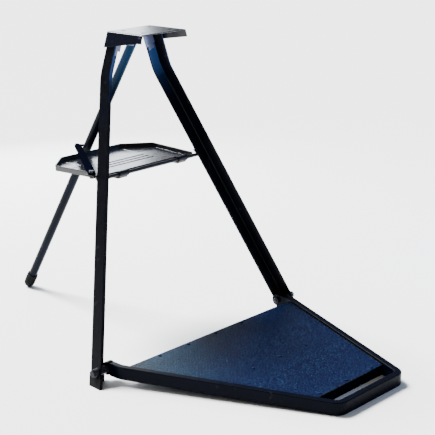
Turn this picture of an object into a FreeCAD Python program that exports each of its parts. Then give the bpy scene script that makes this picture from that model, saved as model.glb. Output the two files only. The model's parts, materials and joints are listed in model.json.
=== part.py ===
"""Folding tripod stand with a hinged standing platform, in millimetres.

Two bent angle-iron front legs and one tubular rear leg carry a small top plate. A shallow tray hangs on a
rod between the front legs, a lock bar keeps the rear leg from spreading, and a trapezoid platform is hinged
to the feet. +Z is up, the platform points along -Y and the stand is symmetric about X = 0 apart from its
lock bar. The origin is the centre of the ground footprint.
"""
import FreeCAD, Part
import math
import os
import re

import Sketcher

SIZES = {
    # front legs: angle iron with its corner at the outer back edge
    "foot_spread": 406.0,
    "leg_lean": 17.74,
    "leg_splay": 20.23,
    "leg_run": 835.8,
    "leg_width": 38.1,
    "leg_wall": 4.0,
    "leg_start": -30.0,
    "bend_radius": 150.0,
    "boot_wall": 2.6,
    "boot_sole": 4.0,
    "boot_top": 24.0,
    # top plate: folded channel, open at the front, deeper at the back
    "plate_top": 864.0,
    "plate_wall": 2.5,
    "weld_gap": 0.2,
    "plate_back": 242.0,
    "plate_depth": 135.0,
    "plate_drop_front": 21.3,
    "plate_drop_back": 42.7,
    "plate_bend": 6.0,
    "mount_hole_radius": 5.5,
    "mount_pitch_across": 100.0,
    "mount_pitch_along": 76.0,
    "tab_wall": 3.0,
    "tab_width": 38.0,
    "tab_low": 76.0,
    "tab_inset": 0.8,
    "tongue_length": 13.0,
    "tongue_width": 22.0,
    "tongue_inset": 8.0,
    "rivet_radius": 2.5,
    "rivet_head_radius": 4.6,
    "rivet_head": 2.0,
    # rear leg and its hinge under the top plate
    "hinge_back": 226.0,
    "hinge_height": 833.0,
    "rear_spread": 728.0,
    "tube_radius": 12.7,
    "tube_wall": 2.0,
    "tube_above": 15.0,
    "tip_radius": 16.0,
    "tip_length": 36.0,
    "ear_gap": 0.6,
    "ear_wall": 4.0,
    "ear_half": 14.0,
    "hinge_bolt_radius": 4.0,
    "running_gap": 0.06,
    # tray on its rod
    "rod_offset": 6.0877,
    "rod_height": 485.8,
    "rod_radius": 5.0,
    "rod_end": 6.0,
    "lug_wall": 4.0,
    "lug_gap": 21.0336,
    "tray_front": 9.2,
    "tray_front_half": 177.0,
    "tray_side_half": 194.0,
    "tray_side_back": 191.0,
    "tray_rear_half": 116.0,
    "tray_rear_back": 254.0,
    "tray_height": 14.2,
    "tray_rise": 5.4,
    "tray_wall": 1.6,
    "tray_corner": 9.0,
    "clip_at": 117.0,
    "clip_length": 35.0,
    "clip_radius": 8.4,
    "clip_wall": 3.2,
    "clip_tail": 36.0,
    "clip_rivet_pitch": 20.0,
    "clip_rivet_back": 26.0,
    # lock bar
    "bar_pivot_side": 16.0,
    "bar_pivot_offset": 18.5,
    "bar_height": 498.0,
    "bar_wall": 5.0,
    "bar_width": 20.0,
    "bar_offset": 26.5,
    "hook_gap": 18.5,
    "hook_width": 11.0,
    "hook_reach": 24.0,
    "bar_tip": 14.0,
    "bracket_width": 24.0,
    # platform
    "platform_reach": 607.0,
    "pivot_front": 12.2,
    "pivot_height": 35.8,
    "rim_width": 20.0,
    "rim_height": 35.0,
    "rim_wall": 2.0,
    "rim_round": 3.0,
    "rail_half": 350.0,
    "rail_kink": 42.0,
    "kink_radius": 60.0,
    "front_half": 128.5,
    "front_radius": 26.0,
    "deck_start": 49.0,
    "deck_recess": 7.5,
    "deck_wall": 2.0,
    "deck_gap": 0.4,
    "hand_slot": 57.0,
    "slot_bar_depth": 20.0,
    "slot_bar_height": 27.5,
    "cross_bar": 20.0,
    "bar_gauge": 2.0,
    "hub_start": 12.0,
    "deck_rivet_pitch": 110.0,
    "mid_bar_at": 280.0,
    "pivot_bolt_radius": 5.0,
    "boss_radius": 11.0,
    "boss_inset": 1.0,
    "side_gap": 0.8,
    "bolt_head_radius": 8.5,
    "bolt_head": 6.0,
    "nut_height": 7.0,
}

# Lengths and angles that follow from the sizes, named once.
DERIVED = {
    "foot_line": "((platform_reach - rear_spread - tip_radius) / 2)",
    "pivot_y": "(foot_line - pivot_front)",
    "bend_x": "(foot_spread - leg_run * sin(leg_splay))",
    "bend_y": "(foot_line + leg_run * cos(leg_splay) * sin(leg_lean))",
    "bend_z": "(leg_run * cos(leg_splay) * cos(leg_lean))",
    "bend_turn": "(atan(cos(leg_splay) * tan(leg_lean)))",
    "neck_slope": "(tan(leg_splay) * cos(leg_lean))",
    "neck_run": "((plate_top - plate_wall - 3 - bend_z) * sqrt(1 + neck_slope ^ 2))",
    "flange_yaw": "(leg_width * tan(leg_splay) * sin(leg_lean))",
    "plate_edge": "(bend_x - (plate_top - bend_z) * neck_slope + flange_yaw + weld_gap"
                  " + plate_wall * sqrt(1 + neck_slope ^ 2))",
    "web_under": "(plate_top - plate_wall)",
    "hinge_y": "(foot_line + hinge_back)",
    "rear_angle": "(atan((rear_spread - hinge_back) / (hinge_height - tip_radius)))",
    "rear_run": "((hinge_height - tip_radius) / cos(rear_angle))",
    "lug_inner": "(foot_spread - rod_height * tan(leg_splay) / cos(leg_lean) - lug_gap)",
    "rod_half": "(lug_inner + rod_end)",
    "bar_pivot_out": "(lug_inner + bar_pivot_side)",
    "boss_out": "(foot_spread - boss_inset)",
    "rod_y": "(foot_line + rod_height * leg_slope + rod_offset)",
    "leg_slope": "(tan(leg_lean))",
    "tray_floor": "(tray_rise - tray_height)",
    "catch_y": "(hinge_y + (hinge_height - bar_height - bar_wall / 2) * tan(rear_angle))",
    "bar_pivot_y": "(rod_y + bar_pivot_offset)",
    "catch_away": "(sqrt(bar_pivot_out ^ 2 + (catch_y - bar_pivot_y) ^ 2))",
    "bar_turn": "(atan((catch_y - bar_pivot_y) / bar_pivot_out) + asin(bar_offset / catch_away))",
    "catch_along": "(sqrt(catch_away ^ 2 - bar_offset ^ 2))",
    "platform_tilt": "(asin((pivot_height - rim_height / 2) / (platform_reach - pivot_front)))",
    "rim_front": "((platform_reach - pivot_front - rim_height / 2 * sin(platform_tilt)) / cos(platform_tilt)"
                 " - rim_width / 2)",
    "rail_slope": "((rail_half - front_half) / (rim_front - rail_kink))",
    "rail_side": "((rim_width / 2 + deck_gap) * sqrt(1 + rail_slope ^ 2))",
    "deck_top": "(rim_height / 2 - deck_recess)",
    "deck_under": "(deck_top - deck_wall)",
    "deck_end": "(rim_front - rim_width / 2 - hand_slot)",
    "boss_inner": "(rail_half + rim_width / 2 + side_gap)",
}

WORD = re.compile(r"[a-z]+(?:_[a-z]+)+")
AXES = {"X": FreeCAD.Vector(1, 0, 0), "Y": FreeCAD.Vector(0, 1, 0), "Z": FreeCAD.Vector(0, 0, 1)}

doc = FreeCAD.newDocument("stand")
nodes = {}


def make_sheet():
    """Puts every driving size into a spreadsheet cell under its own alias."""
    sheet = doc.addObject("Spreadsheet::Sheet", "sizes")
    for row, (name, value) in enumerate(SIZES.items(), start=1):
        sheet.set("A%d" % row, name)
        sheet.set("B%d" % row, str(value))
        sheet.setAlias("B%d" % row, name)
    doc.recompute()


def formula(text):
    """Spells a formula of sizes and derived names out as an expression on the spreadsheet."""
    def spell(match):
        name = match.group(0)
        if name in DERIVED:
            return formula(DERIVED[name])
        return "sizes." + name if name in SIZES else name
    return WORD.sub(spell, str(text))


def bind(thing, **sizes):
    """Binds properties of an object to formulas."""
    for name, text in sizes.items():
        thing.setExpression(name, formula(text))


def place(thing, at=("0", "0", "0"), turns=()):
    """Binds an object's placement to a position and a row of turns, each an axis letter and an angle."""
    spins = " * ".join(
        "rotation(vector(%g; %g; %g); %s)" % (*AXES[axis], formula(angle)) for axis, angle in turns
    ) or "rotation(vector(0; 0; 1); 0)"
    where = "; ".join(formula(c) for c in at)
    thing.setExpression("Placement", "placement(vector(%s); %s)" % (where, spins))


def node(label, thing):
    """Names a finished sub-part."""
    thing.Label = label
    nodes[label] = thing
    return thing


# ---------------------------------------------------------------- sketches and bodies

def new_body(name, at=("0", "0", "0"), turns=()):
    body = doc.addObject("PartDesign::Body", name)
    place(body, at, turns)
    return body


def sketch_on(body, name, role, height="0"):
    """Adds a sketch on one of the body's own origin planes, raised by a height."""
    sketch = body.newObject("Sketcher::SketchObject", name)
    plane = next(f for f in body.Origin.OriginFeatures if f.Role == role)
    sketch.AttachmentSupport = [(plane, "")]
    sketch.MapMode = "FlatFace"
    sketch.setExpression("AttachmentOffset", "placement(vector(0; 0; %s); rotation(vector(0; 0; 1); 0))"
                         % formula(height))
    return sketch


def constrain(sketch, constraint, text):
    """Adds a dimension that follows a formula."""
    index = sketch.addConstraint(constraint)
    sketch.setExpression("Constraints[%d]" % index, formula(text))


def corner_points(sketch, corners):
    """Pins one construction point at each corner and returns where they lie."""
    for index, (x, y, _) in enumerate(corners):
        sketch.addGeometry(Part.Point(FreeCAD.Vector(index + 1, index % 3 + 1, 0)), True)
        constrain(sketch, Sketcher.Constraint("DistanceX", index, 1, 1.0), x)
        constrain(sketch, Sketcher.Constraint("DistanceY", index, 1, 1.0), y)
    doc.recompute()
    return [FreeCAD.Vector(sketch.Geometry[i].X, sketch.Geometry[i].Y, 0) for i in range(len(corners))]


def corner_arc(before, corner, after, radius):
    """Returns a fillet arc, its two tangent points and whether it turns left."""
    inward = (corner - before).normalize()
    outward = (after - corner).normalize()
    left = inward.cross(outward).z > 0
    reach = radius * math.tan(inward.getAngle(outward) / 2)
    start = corner - inward * reach
    end = corner + outward * reach
    side = FreeCAD.Vector(-inward.y, inward.x, 0) * (radius if left else -radius)
    centre = start + side
    first, last = (start, end) if left else (end, start)
    angles = [math.atan2(p.y - centre.y, p.x - centre.x) for p in (first, last)]
    circle = Part.Circle(centre, AXES["Z"], radius)
    return Part.ArcOfCircle(circle, angles[0], angles[1]), start, end, left


def draw(sketch, corners, closed=True):
    """Draws lines through the corners, with a bound tangent arc at each corner that has a radius."""
    points = corner_points(sketch, corners)
    count = len(corners)
    rounds = {}
    for i, (_, _, radius) in enumerate(corners):
        if radius and (closed or 0 < i < count - 1):
            value = float(getattr(doc.sizes, radius))
            rounds[i] = corner_arc(points[i - 1], points[i], points[(i + 1) % count], value)
    lines = {}
    for i in range(count if closed else count - 1):
        after = (i + 1) % count
        start = rounds[i][2] if i in rounds else points[i]
        end = rounds[after][1] if after in rounds else points[after]
        lines[i] = sketch.addGeometry(Part.LineSegment(start, end))
        for corner, pos in ((i, 1), (after, 2)):
            kind = ("PointOnObject", corner, 1, lines[i]) if corner in rounds else (
                "Coincident", lines[i], pos, corner, 1)
            sketch.addConstraint(Sketcher.Constraint(*kind))
    for i, (arc, _, _, left) in rounds.items():
        geo = sketch.addGeometry(arc)
        into, out = (1, 2) if left else (2, 1)
        sketch.addConstraint(Sketcher.Constraint("Tangent", lines[(i - 1) % count], 2, geo, into))
        sketch.addConstraint(Sketcher.Constraint("Tangent", geo, out, lines[i], 1))
        constrain(sketch, Sketcher.Constraint("Radius", geo, arc.Radius), corners[i][2])
    return sketch


def outline(body, name, role, corners, height="0"):
    """A closed outline; a corner is an x, a y and, where it is rounded, the name of its radius."""
    full = [(c[0], c[1], c[2] if len(c) > 2 else None) for c in corners]
    return draw(sketch_on(body, name, role, height), full)


def pad(body, sketch, length):
    """Pads a sketch of the body along its plane's normal."""
    feature = body.newObject("PartDesign::Pad", body.Name + "_pad")
    feature.Profile = sketch
    bind(feature, Length=length)
    return body


def prism(name, role, corners, length, at=("0", "0", "0"), turns=()):
    """A body that is one padded outline."""
    body = new_body(name, at, turns)
    return pad(body, outline(body, name + "_outline", role, corners), length)


def pipe(body, section, corners, role):
    """Carries a section along a path of lines and arcs."""
    path = draw(sketch_on(body, body.Name + "_path", role), corners, closed=False)
    doc.recompute()
    feature = body.newObject("PartDesign::AdditivePipe", body.Name + "_pipe")
    feature.Profile = section
    feature.Spine = (path, ["Edge%d" % (i + 1) for i in range(len(path.Shape.Edges))])
    return body


# ---------------------------------------------------------------- primitives and booleans

def cylinder(name, radius, length, at, along="Z"):
    """A cylinder from a point, running along +X, +Y or +Z."""
    turns = {"X": [("Y", "90")], "Y": [("X", "-90")], "Z": []}[along]
    thing = doc.addObject("Part::Cylinder", name)
    bind(thing, Radius=radius, Height=length)
    place(thing, at, turns)
    return thing


def box(name, size, at):
    """A box from its lowest corner."""
    thing = doc.addObject("Part::Box", name)
    bind(thing, Length=size[0], Width=size[1], Height=size[2])
    place(thing, at)
    return thing


def hexagon(name, radius, length, at, along="X"):
    """A hexagonal bolt head or nut, with its size across flats twice the radius."""
    turns = {"X": [("Y", "90")], "Z": []}[along]
    thing = doc.addObject("Part::Prism", name)
    thing.Polygon = 6
    bind(thing, Circumradius="(%s) / cos(30)" % radius, Height=length)
    place(thing, at, turns)
    return thing


def cut(name, base, *tools):
    """Cuts one or more tools out of a base."""
    for number, tool in enumerate(tools, start=1):
        step = doc.addObject("Part::Cut", "%s_cut_%d" % (name, number))
        step.Base = base
        step.Tool = tool
        base = step
    return base


def fuse(name, *things):
    """Joins things into one solid."""
    thing = doc.addObject("Part::MultiFuse", name + "_joined")
    thing.Shapes = list(things)
    thing.Refine = True
    return thing


def group(name, things):
    """Keeps separate solids together as one sub-part."""
    thing = doc.addObject("Part::Compound", name + "_set")
    thing.Links = list(things)
    return thing


def mirrored(name, source):
    """The same piece on the other side of X = 0."""
    thing = doc.addObject("Part::Mirroring", name + "_mirror")
    thing.Source = source
    thing.Normal = AXES["X"]
    return thing


# ---------------------------------------------------------------- front legs, boots and top plate

LEG_TURNS = [("X", "-leg_lean"), ("Y", "leg_splay")]
LEG_FOOT = ("-foot_spread", "foot_line", "0")


def make_boss(name):
    """The bush welded through a leg's forward flange, which keeps the platform's pivot level."""
    body = cylinder(name + "_outer", "boss_radius", "boss_out - boss_inner",
                    ("boss_inner", "pivot_y", "pivot_height"), "X")
    bore = cylinder(name + "_bore", "pivot_bolt_radius", "boss_out", ("0", "pivot_y", "pivot_height"), "X")
    return body, bore


def make_legs():
    """A leg is built on the left and mirrored, since only the sides of the section change."""
    leg = new_body("leg_bar", LEG_FOOT, LEG_TURNS)
    corners = [("0", "0"), ("leg_width", "0"), ("leg_width", "-leg_wall"), ("leg_wall", "-leg_wall"),
               ("leg_wall", "-leg_width"), ("0", "-leg_width")]
    section = outline(leg, "leg_section", "XY_Plane", corners, "leg_start")
    path = [("0", "leg_start", None), ("0", "leg_run", "bend_radius"),
            ("-neck_run * sin(bend_turn)", "leg_run + neck_run * cos(bend_turn)", None)]
    pipe(leg, section, path, "YZ_Plane")
    ground = box("ground", ("240", "240", "120"), ("-foot_spread - 120", "foot_line - 120", "boot_sole - 120"))
    boss_hole = cylinder("boss_hole", "boss_radius", "boss_out - boss_inner",
                         ("-boss_out", "pivot_y", "pivot_height"), "X")
    steel = cut("left_leg", leg, ground, boss_hole)
    node("left_leg", steel)
    node("right_leg", mirrored("right_leg", steel))

    grown = [("-boot_wall", "boot_wall"), ("leg_width + boot_wall", "boot_wall"),
             ("leg_width + boot_wall", "-leg_wall - boot_wall"),
             ("leg_wall + boot_wall", "-leg_wall - boot_wall"),
             ("leg_wall + boot_wall", "-leg_width - boot_wall"), ("-boot_wall", "-leg_width - boot_wall")]
    boot = new_body("boot_block", LEG_FOOT, LEG_TURNS)
    pad(boot, outline(boot, "boot_outline", "XY_Plane", grown, "2 * leg_start"), "140")
    under = box("boot_under", ("240", "240", "120"), ("-foot_spread - 120", "foot_line - 120", "-120"))
    above = box("boot_above", ("240", "240", "120"), ("-foot_spread - 120", "foot_line - 120", "boot_top"))
    rubber = cut("left_boot", boot, under, above, steel)
    node("left_foot_boot", rubber)
    node("right_foot_boot", mirrored("right_boot", rubber))


def make_top_plate():
    """A channel folded along Y whose flanges lean as the legs' necks do and grow deeper to the back."""
    low = "plate_top - plate_drop_back"
    flare = "plate_drop_back * neck_slope"
    skin = "plate_wall * sqrt(1 + neck_slope ^ 2)"
    half = [("plate_edge", "plate_top", "plate_bend"), ("plate_edge + " + flare, low, None),
            ("plate_edge + %s - %s" % (flare, skin), low, None),
            ("plate_edge + plate_wall * neck_slope - " + skin, "web_under", None)]
    other = [("-(%s)" % x, z, r) for x, z, r in reversed(half)]
    channel = prism("plate_channel", "XZ_Plane", half + other, "plate_depth",
                    ("0", "foot_line + plate_back", "0"))
    front = "foot_line + plate_back - plate_depth"
    back = "foot_line + plate_back"
    taper = prism("plate_taper", "YZ_Plane",
                  [(front, "plate_top - plate_drop_front"), (front, low + " - 40"), (back, low + " - 40"),
                   (back, low)], "300", ("-150", "0", "0"))
    holes = []
    for i, (sx, sy) in enumerate(((-1, -1), (1, -1), (1, 1), (-1, 1))):
        at = ("%d * mount_pitch_across / 2" % sx,
              "foot_line + plate_back - plate_depth / 2 + %d * mount_pitch_along / 2" % sy, "plate_top - 30")
        holes.append(cylinder("mount_hole_%d" % i, "mount_hole_radius", "60", at))
    node("top_plate", cut("top_plate", channel, taper, *holes))


def make_top_tabs():
    """A tab with a narrow tongue, welded to the front face of each neck just under the top plate."""
    inner, outer = "leg_wall + tab_inset", "leg_wall + tab_inset + tab_width"
    step = inner + " + tongue_inset"
    corners = [(inner, "neck_run - 2"), (inner, "tab_low"), (step, "tab_low"),
               (step, "tab_low - tongue_length"), (step + " + tongue_width", "tab_low - tongue_length"),
               (step + " + tongue_width", "tab_low"), (outer, "tab_low"), (outer, "neck_run - 2")]
    lift = "(leg_wall / cos(bend_turn))"
    at = ("-bend_x", "bend_y - %s" % lift, "bend_z")
    tab = prism("top_tab", "XZ_Plane", corners, "tab_wall", at, LEG_TURNS + [("X", "bend_turn")])
    node("left_top_tab", tab)
    node("right_top_tab", mirrored("right_top_tab", tab))


# ---------------------------------------------------------------- rear leg

def make_rear_hinge():
    ear_x = "(tube_radius + ear_gap)"
    low = "hinge_height - ear_half"
    ears = [box("ear_%d" % i, ("ear_wall", "2 * ear_half", "web_under - (%s)" % low),
                (x, "hinge_y - ear_half", low))
            for i, x in enumerate((ear_x, "-%s - ear_wall" % ear_x))]
    base = box("ear_base", ("2 * " + ear_x, "2 * ear_half", "plate_wall"),
               ("-" + ear_x, "hinge_y - ear_half", "web_under - plate_wall"))
    reach = "(tube_radius + ear_gap + ear_wall)"
    hole = cylinder("hinge_hole", "hinge_bolt_radius", "2 * " + reach, ("-" + reach, "hinge_y", "hinge_height"),
                    "X")
    node("rear_hinge_bracket", cut("rear_hinge_bracket", fuse("rear_hinge_bracket", *ears, base), hole))
    shank = cylinder("hinge_shank", "hinge_bolt_radius", "2 * %s + 9" % reach,
                     ("-" + reach, "hinge_y", "hinge_height"), "X")
    head = hexagon("hinge_head", "6.5", "5.3", ("-%s - 5.3" % reach, "hinge_y", "hinge_height"))
    node("rear_hinge_bolt", fuse("rear_hinge_bolt", shank, head))
    nut = hexagon("hinge_nut_blank", "6.5", "6.5", (reach, "hinge_y", "hinge_height"))
    node("rear_hinge_nut", cut("rear_hinge_nut", nut, shank))


def make_rear_leg():
    """The tube and its rubber tip are built along Z below the hinge, then turned to the leg's angle."""
    length = "rear_run - 4 + tube_above"
    tube = cylinder("rear_tube", "tube_radius", length, ("0", "0", "-rear_run + 4"))
    inside = cylinder("rear_tube_inside", "tube_radius - tube_wall", length + " - tube_wall",
                      ("0", "0", "-rear_run + 4"))
    cross = cylinder("rear_tube_hole", "hinge_bolt_radius + running_gap", "60", ("-30", "0", "0"), "X")
    leg = cut("rear_leg", tube, inside, cross)
    ferrule = cylinder("tip_sleeve", "tip_radius", "tip_length", ("0", "0", "-rear_run"))
    dome = doc.addObject("Part::Sphere", "tip_dome")
    bind(dome, Radius="tip_radius")
    place(dome, ("0", "0", "-rear_run"))
    tip = cut("rear_tip", fuse("rear_tip", ferrule, dome), tube)
    for label, thing in (("rear_leg", leg), ("rear_leg_tip", tip)):
        place(thing, ("0", "hinge_y", "hinge_height"), [("X", "rear_angle")])
        node(label, thing)


# ---------------------------------------------------------------- tray

TRAY_AXIS = ("0", "rod_y", "rod_height")


def flange_back(height):
    """Y of the back face of the front legs' plane at a height."""
    return "foot_line + (%s) * leg_slope" % height


def make_rod():
    rod = cylinder("rod_bar", "rod_radius", "2 * rod_half", ("-rod_half", "rod_y", "rod_height"), "X")
    node("tray_rod", rod)
    low, high = "rod_height - 10", "bar_height - 4.3"
    shape = [(flange_back(low), low), ("rod_y + 10", low), ("bar_pivot_y + 12", high), (flange_back(high), high)]
    right = prism("lug_plate", "YZ_Plane", shape, "lug_wall", ("lug_inner", "0", "0"))
    node("right_rod_lug", cut("right_rod_lug", right, rod))
    shelf_width = "(bar_pivot_out + bracket_width / 2 - lug_inner)"
    shelf = box("bracket_shelf", (shelf_width, "bar_pivot_y + 12 - (%s) - 3" % flange_back(high), "4"),
                ("-lug_inner - " + shelf_width, flange_back(high) + " + 3", high))
    joined = fuse("lock_bracket", mirrored("left_lug_plate", right), shelf)
    bolt_hole = cylinder("bracket_hole", "hinge_bolt_radius", "80",
                         ("-bar_pivot_out", "bar_pivot_y", "bar_height - 40"))
    node("lock_bar_bracket", cut("lock_bracket", joined, rod, bolt_hole))


def tray_outline(inset):
    """The tray's outline in its own frame, drawn in by an inset."""
    half = [("tray_front_half - %s" % inset, "tray_front + %s" % inset, "tray_corner"),
            ("tray_side_half - %s" % inset, "tray_side_back - 0.4 * %s" % inset, "tray_corner"),
            ("tray_rear_half - 0.4 * %s" % inset, "tray_rear_back - %s" % inset, "tray_corner")]
    return half + [("-(%s)" % x, y, r) for x, y, r in reversed(half)]


def clip_rivet_spots():
    return [("%s * clip_at + %s * clip_rivet_pitch / 2" % (side, step), "clip_rivet_back")
            for side in ("-1", "1") for step in ("-1", "1")]


def make_tray():
    """The pan, its two knuckles round the rod and their rivets, in a frame on the rod's axis."""
    outer = prism("pan_block", "XY_Plane", tray_outline("0"), "tray_height", ("0", "0", "tray_floor"))
    inner = prism("pan_hollow", "XY_Plane", tray_outline("tray_wall"), "tray_height",
                  ("0", "0", "tray_floor + tray_wall"))
    under = "tray_floor - clip_wall"
    holes = [cylinder("pan_rivet_hole_%d" % i, "rivet_radius", "30", (x, y, "-20"))
             for i, (x, y) in enumerate(clip_rivet_spots())]
    placed = {"tray_pan": cut("tray_pan", outer, inner, *holes)}
    for side, sign in (("left", "-1"), ("right", "1")):
        start = "%s * clip_at - clip_length / 2" % sign
        ring = cylinder(side + "_clip_ring", "clip_radius", "clip_length", (start, "0", "0"), "X")
        neck = box(side + "_clip_neck", ("clip_length", "clip_radius", "0 - (%s)" % under), (start, "0", under))
        tail = box(side + "_clip_tail", ("clip_length", "clip_tail", "clip_wall"), (start, "0", under))
        bore = cylinder(side + "_clip_bore", "rod_radius + running_gap", "clip_length", (start, "0", "0"), "X")
        joined = fuse(side + "_clip", ring, neck, tail)
        placed[side + "_tray_clip"] = cut(side + "_tray_clip", joined, bore, *holes)
    rivets = []
    for i, (x, y) in enumerate(clip_rivet_spots()):
        low = under + " - rivet_head"
        shank = cylinder("clip_rivet_shank_%d" % i, "rivet_radius", "tray_wall + clip_wall", (x, y, under))
        foot = cylinder("clip_rivet_foot_%d" % i, "rivet_head_radius", "rivet_head", (x, y, low))
        head = cylinder("clip_rivet_head_%d" % i, "rivet_head_radius", "rivet_head",
                        (x, y, "tray_floor + tray_wall"))
        rivets.append(fuse("clip_rivet_%d" % i, shank, foot, head))
    placed["tray_clip_rivets"] = group("clip_rivets", rivets)
    for label, thing in placed.items():
        place(thing, TRAY_AXIS)
        node(label, thing)


# ---------------------------------------------------------------- lock bar

def make_lock_bar():
    """A flat bar on a vertical bolt, with a hook that lies behind the rear leg and a pointed tail."""
    hook = "catch_along + hook_gap"
    end = hook + " + hook_width"
    side = "bar_width / 2"
    corners = [("0", "-" + side), (hook, "-" + side), (hook, "-%s - hook_reach" % side),
               (end, "-%s - hook_reach" % side), (end, "-" + side), (end + " + bar_tip", "-2"),
               (end + " + bar_tip", "4"), (hook, side), ("0", side)]
    strap = prism("bar_strap", "XY_Plane", corners, "bar_wall")
    plate = fuse("bar_plate", strap, cylinder("bar_eye", side, "bar_wall", ("0", "0", "0")))
    bore = cylinder("bar_bore", "hinge_bolt_radius + running_gap", "40", ("0", "0", "-20"))
    bar = cut("lock_bar", plate, bore)
    place(bar, ("-bar_pivot_out", "bar_pivot_y", "bar_height"), [("Z", "bar_turn")])
    node("lock_bar", bar)
    x, y = "-bar_pivot_out", "bar_pivot_y"
    low = "bar_height - 4.3 - 7"
    shank = cylinder("lock_shank", "hinge_bolt_radius", "bar_wall + 0.3 + 11.3", (x, y, low))
    head = hexagon("lock_head", "6.5", "5.3", (x, y, "bar_height + bar_wall + 0.3"), "Z")
    node("lock_bar_bolt", fuse("lock_bar_bolt", shank, head))
    nut = hexagon("lock_nut_blank", "6.5", "6.5", (x, y, "bar_height - 4.3 - 6.5"), "Z")
    node("lock_bar_nut", cut("lock_bar_nut", nut, shank))


# ---------------------------------------------------------------- platform

PLATFORM_AXIS = ("0", "pivot_y", "pivot_height")
PLATFORM_TURNS = [("X", "platform_tilt")]


def rail_inside(distance):
    """Half the clear width between the rails at a distance in front of the pivot."""
    return "(front_half + (rim_front - (%s)) * rail_slope - rail_side)" % distance


def between_rails(name, near, far, low, height):
    """A flat block that fills the width between the rails from one distance to another."""
    corners = [(rail_inside(near), "-(%s)" % near), ("-" + rail_inside(near), "-(%s)" % near),
               ("-" + rail_inside(far), "-(%s)" % far), (rail_inside(far), "-(%s)" % far)]
    return prism(name, "XY_Plane", corners, height, ("0", "0", low))


def cross_member(name, near, depth, height):
    """A square tube between the rails, against the underside of the deck."""
    far = "%s + %s" % (near, depth)
    block = between_rails(name + "_block", near, far, "deck_under - " + height, height)
    width = "2 * rail_half"
    inside = box(name + "_inside", (width, "%s - 2 * bar_gauge" % depth, "%s - 2 * bar_gauge" % height),
                 ("-rail_half", "-(%s) + bar_gauge" % far, "deck_under - %s + bar_gauge" % height))
    return cut(name, block, inside)


def make_rim():
    """One rectangular tube bent round the platform, with a hub in each rail end."""
    rim = new_body("rim_tube")
    sides = ("rim_width / 2", "rim_height / 2")

    def section(name, skin):
        corners = [("-rail_half + %s * (%s - %s)" % (sx, sides[0], skin),
                    "%s * (%s - %s)" % (sz, sides[1], skin), "rim_round" if skin == "0" else None)
                   for sx, sz in ((-1, -1), (1, -1), (1, 1), (-1, 1))]
        return outline(rim, name, "XZ_Plane", corners, "hub_start")

    half = [("-rail_half", "-hub_start", None), ("-rail_half", "-rail_kink", "kink_radius"),
            ("-front_half", "-rim_front", "front_radius")]
    path = half + [(x[1:], y, r) for x, y, r in reversed(half)]
    outer = section("rim_section", "0")
    inner = section("rim_hollow", "rim_wall")
    pipe(rim, outer, path, "XY_Plane")
    doc.recompute()
    hollow = rim.newObject("PartDesign::SubtractivePipe", "rim_bore")
    hollow.Profile = inner
    hollow.Spine = doc.rim_tube_pipe.Spine
    hubs = [cylinder("hub_seat_%d" % i, "rim_height / 2", "rim_width",
                     ("%s * rail_half - rim_width / 2" % sign, "0", "0"), "X")
            for i, sign in enumerate(("-1", "1"))]
    placed = {"platform_rim": cut("platform_rim", rim, *hubs)}
    bore = cylinder("hub_bore", "pivot_bolt_radius + running_gap", "3 * rail_half",
                    ("-1.5 * rail_half", "0", "0"), "X")
    for side, hub in zip(("left", "right"), hubs):
        placed[side + "_rail_hub"] = cut(side + "_rail_hub", hub, bore)
    return placed


def deck_rivet_spots():
    rows = {"rear": ("deck_start + cross_bar / 2", 2), "middle": ("mid_bar_at + cross_bar / 2", 1),
            "front": ("deck_end - slot_bar_depth / 2", 1)}
    return [("%d * deck_rivet_pitch" % step, "-(%s)" % y)
            for y, reach in rows.values() for step in range(-reach, reach + 1)]


def make_platform():
    """Everything that turns on the platform's pivot, in a frame on that pivot."""
    placed = make_rim()
    spots = deck_rivet_spots()
    holes = [cylinder("deck_hole_%d" % i, "rivet_radius", "deck_wall + bar_gauge",
                      (x, y, "deck_under - bar_gauge")) for i, (x, y) in enumerate(spots)]
    deck = between_rails("deck_sheet", "deck_start", "deck_end", "deck_under", "deck_wall")
    placed["deck_panel"] = cut("deck_panel", deck, *holes)
    members = {"deck_rear_bar": ("deck_start", "cross_bar", "cross_bar"),
               "deck_mid_bar": ("mid_bar_at", "cross_bar", "cross_bar"),
               "hand_slot_bar": ("deck_end - slot_bar_depth", "slot_bar_depth", "slot_bar_height")}
    for label, shape in members.items():
        placed[label] = cut(label + "_drilled", cross_member(label, *shape), *holes)
    rivets = []
    for i, (x, y) in enumerate(spots):
        shank = cylinder("deck_shank_%d" % i, "rivet_radius", "deck_wall + bar_gauge",
                         (x, y, "deck_under - bar_gauge"))
        head = cylinder("deck_head_%d" % i, "rivet_head_radius", "1.2", (x, y, "deck_top"))
        rivets.append(fuse("deck_rivet_%d" % i, shank, head))
    placed["deck_rivets"] = group("deck_rivets", rivets)
    for label, thing in placed.items():
        place(thing, PLATFORM_AXIS, PLATFORM_TURNS)
        node(label, thing)


def make_pivots():
    """A bush through each leg, with the bolt and nut on which the platform turns."""
    y, z = "pivot_y", "pivot_height"
    inside = "(rail_half - rim_width / 2 - side_gap)"
    outer, bore = make_boss("boss")
    right = {"pivot_bush": cut("pivot_bush", outer, bore)}
    shank = cylinder("pivot_shank", "pivot_bolt_radius", "boss_out - %s + nut_height + 2" % inside,
                     (inside + " - nut_height - 2", y, z), "X")
    head = hexagon("pivot_head", "bolt_head_radius", "bolt_head", ("boss_out", y, z))
    right["pivot_bolt"] = fuse("pivot_bolt", shank, head)
    nut = hexagon("pivot_nut_blank", "bolt_head_radius", "nut_height", (inside + " - nut_height", y, z))
    right["pivot_nut"] = cut("pivot_nut", nut, shank)
    for label, thing in right.items():
        node("right_" + label, thing)
        node("left_" + label, mirrored("left_" + label, thing))


# ---------------------------------------------------------------- build, test and write

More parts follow.
